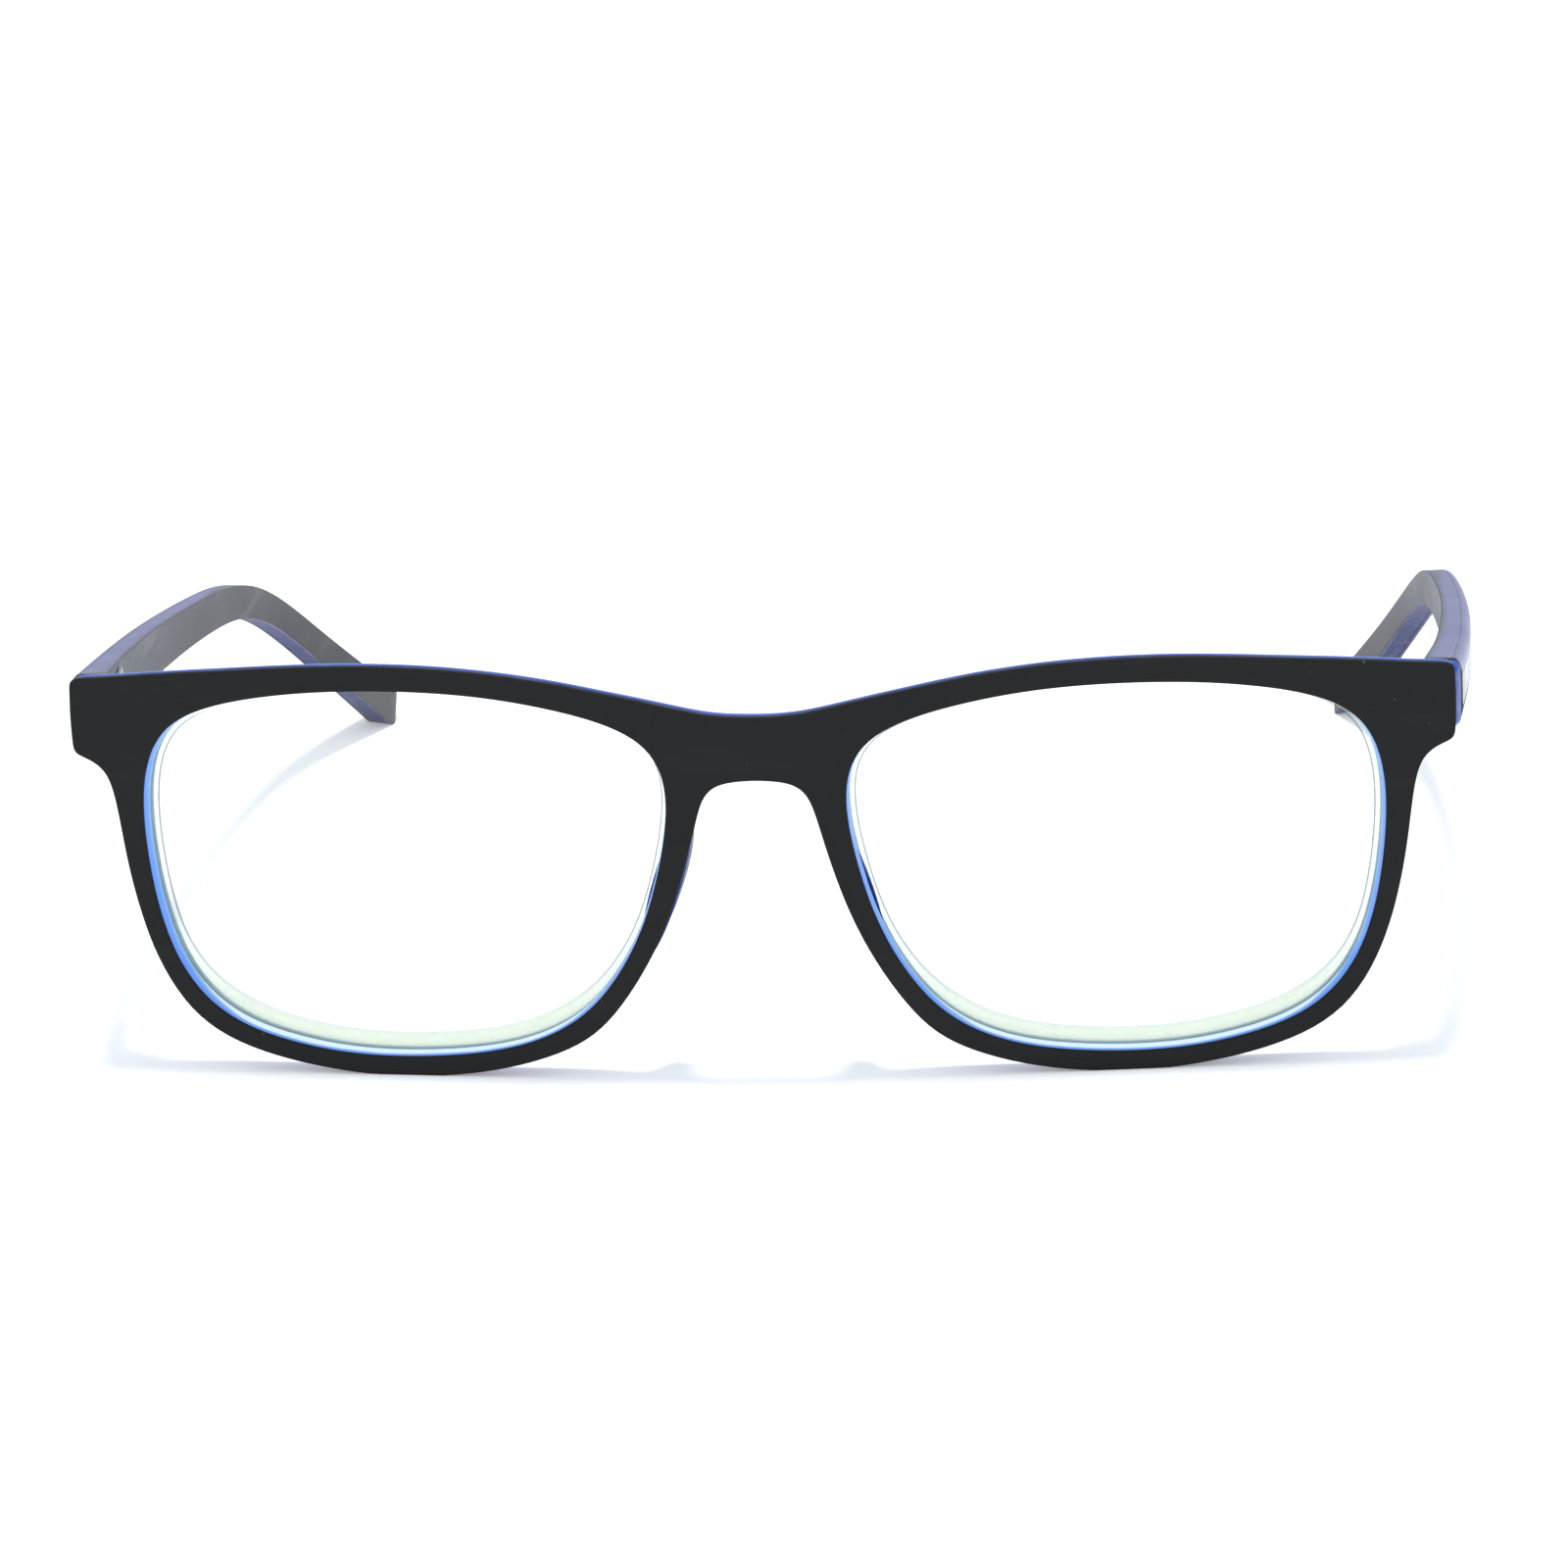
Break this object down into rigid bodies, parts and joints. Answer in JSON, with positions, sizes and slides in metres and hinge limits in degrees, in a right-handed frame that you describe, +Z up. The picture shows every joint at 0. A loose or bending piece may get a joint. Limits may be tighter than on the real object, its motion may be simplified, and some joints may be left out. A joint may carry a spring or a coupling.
{
  "type": "blue light glasses",
  "caption": "Full-rim plastic glasses: black-faced blue front with clear lenses, and slim folding temples bent down to the ears.",
  "frame": {"origin": "centre of the bounding box on the floor that the rims and temple tips stand on", "axes": "+X to the wearer's left, +Y from the front to the temple tips, +Z up"},
  "size_m": [0.1404, 0.1316, 0.0425],
  "materials": {
    "front_black": "matte black laminate, fine satin grain",
    "frame_blue": "polished translucent-looking blue plastic",
    "temple_black": "matte black laminate, fine satin grain",
    "lens_clear": "clear optical resin with a faint green-blue anti-reflective coat and frosted edge",
    "hinge_steel": "satin nickel silver",
    "wire_steel": "drawn wire"
  },
  "bodies": {
    "front": {"front_face": "front_black", "front_core": "frame_blue", "left_lens": "lens_clear", "left_front_hinge_leaf": "hinge_steel", "left_hinge_screw": "hinge_steel", "left_front_leaf_screw_1": "hinge_steel", "left_front_leaf_screw_2": "hinge_steel", "right_lens": "lens_clear", "right_front_hinge_leaf": "hinge_steel", "right_hinge_screw": "hinge_steel", "right_front_leaf_screw_1": "hinge_steel", "right_front_leaf_screw_2": "hinge_steel"},
    "left_temple": {"left_temple_core": "frame_blue", "left_temple_outer_face": "temple_black", "left_temple_inner_face": "temple_black", "left_temple_core_wire": "wire_steel", "left_temple_hinge_leaf": "hinge_steel", "left_temple_leaf_screw_1": "hinge_steel", "left_temple_leaf_screw_2": "hinge_steel"},
    "right_temple": {"right_temple_core": "frame_blue", "right_temple_outer_face": "temple_black", "right_temple_inner_face": "temple_black", "right_temple_core_wire": "wire_steel", "right_temple_hinge_leaf": "hinge_steel", "right_temple_leaf_screw_1": "hinge_steel", "right_temple_leaf_screw_2": "hinge_steel"}
  },
  "joints": [
    {"name": "left_temple_fold", "type": "hinge", "parent": "front", "child": "left_temple", "pos_m": [0.0643, -0.0534, 0.0366], "axis": [0, 0, 1], "range_deg": [0, 86]},
    {"name": "right_temple_fold", "type": "hinge", "parent": "front", "child": "right_temple", "pos_m": [-0.0643, -0.0534, 0.0366], "axis": [0, 0, -1], "range_deg": [0, 82]}
  ]
}
